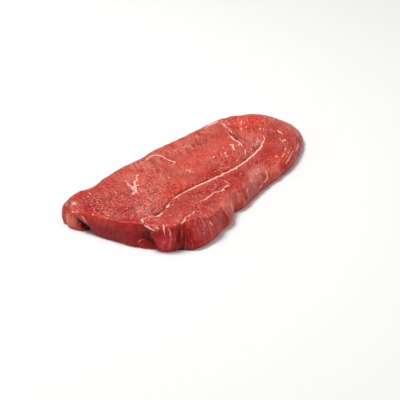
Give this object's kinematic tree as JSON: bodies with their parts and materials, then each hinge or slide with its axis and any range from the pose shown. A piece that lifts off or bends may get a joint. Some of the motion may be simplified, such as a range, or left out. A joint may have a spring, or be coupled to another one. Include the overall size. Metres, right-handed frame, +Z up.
{
  "type": "raw cross rib steak",
  "caption": "Raw boneless beef shoulder steak: a thick, slightly uneven slice with a fat seam, lying flat, thick at one corner and thin at the far end.",
  "frame": {"origin": "middle of the footprint, on the surface that the slice lies on", "axes": "+X along the slice towards its thin rounded end, +Y across it away from the thick front corner, +Z up"},
  "size_m": [0.2733, 0.1294, 0.0238],
  "materials": {
    "beef": "satin"
  },
  "bodies": {
    "root": {"steak": "beef"}
  },
  "joints": []
}
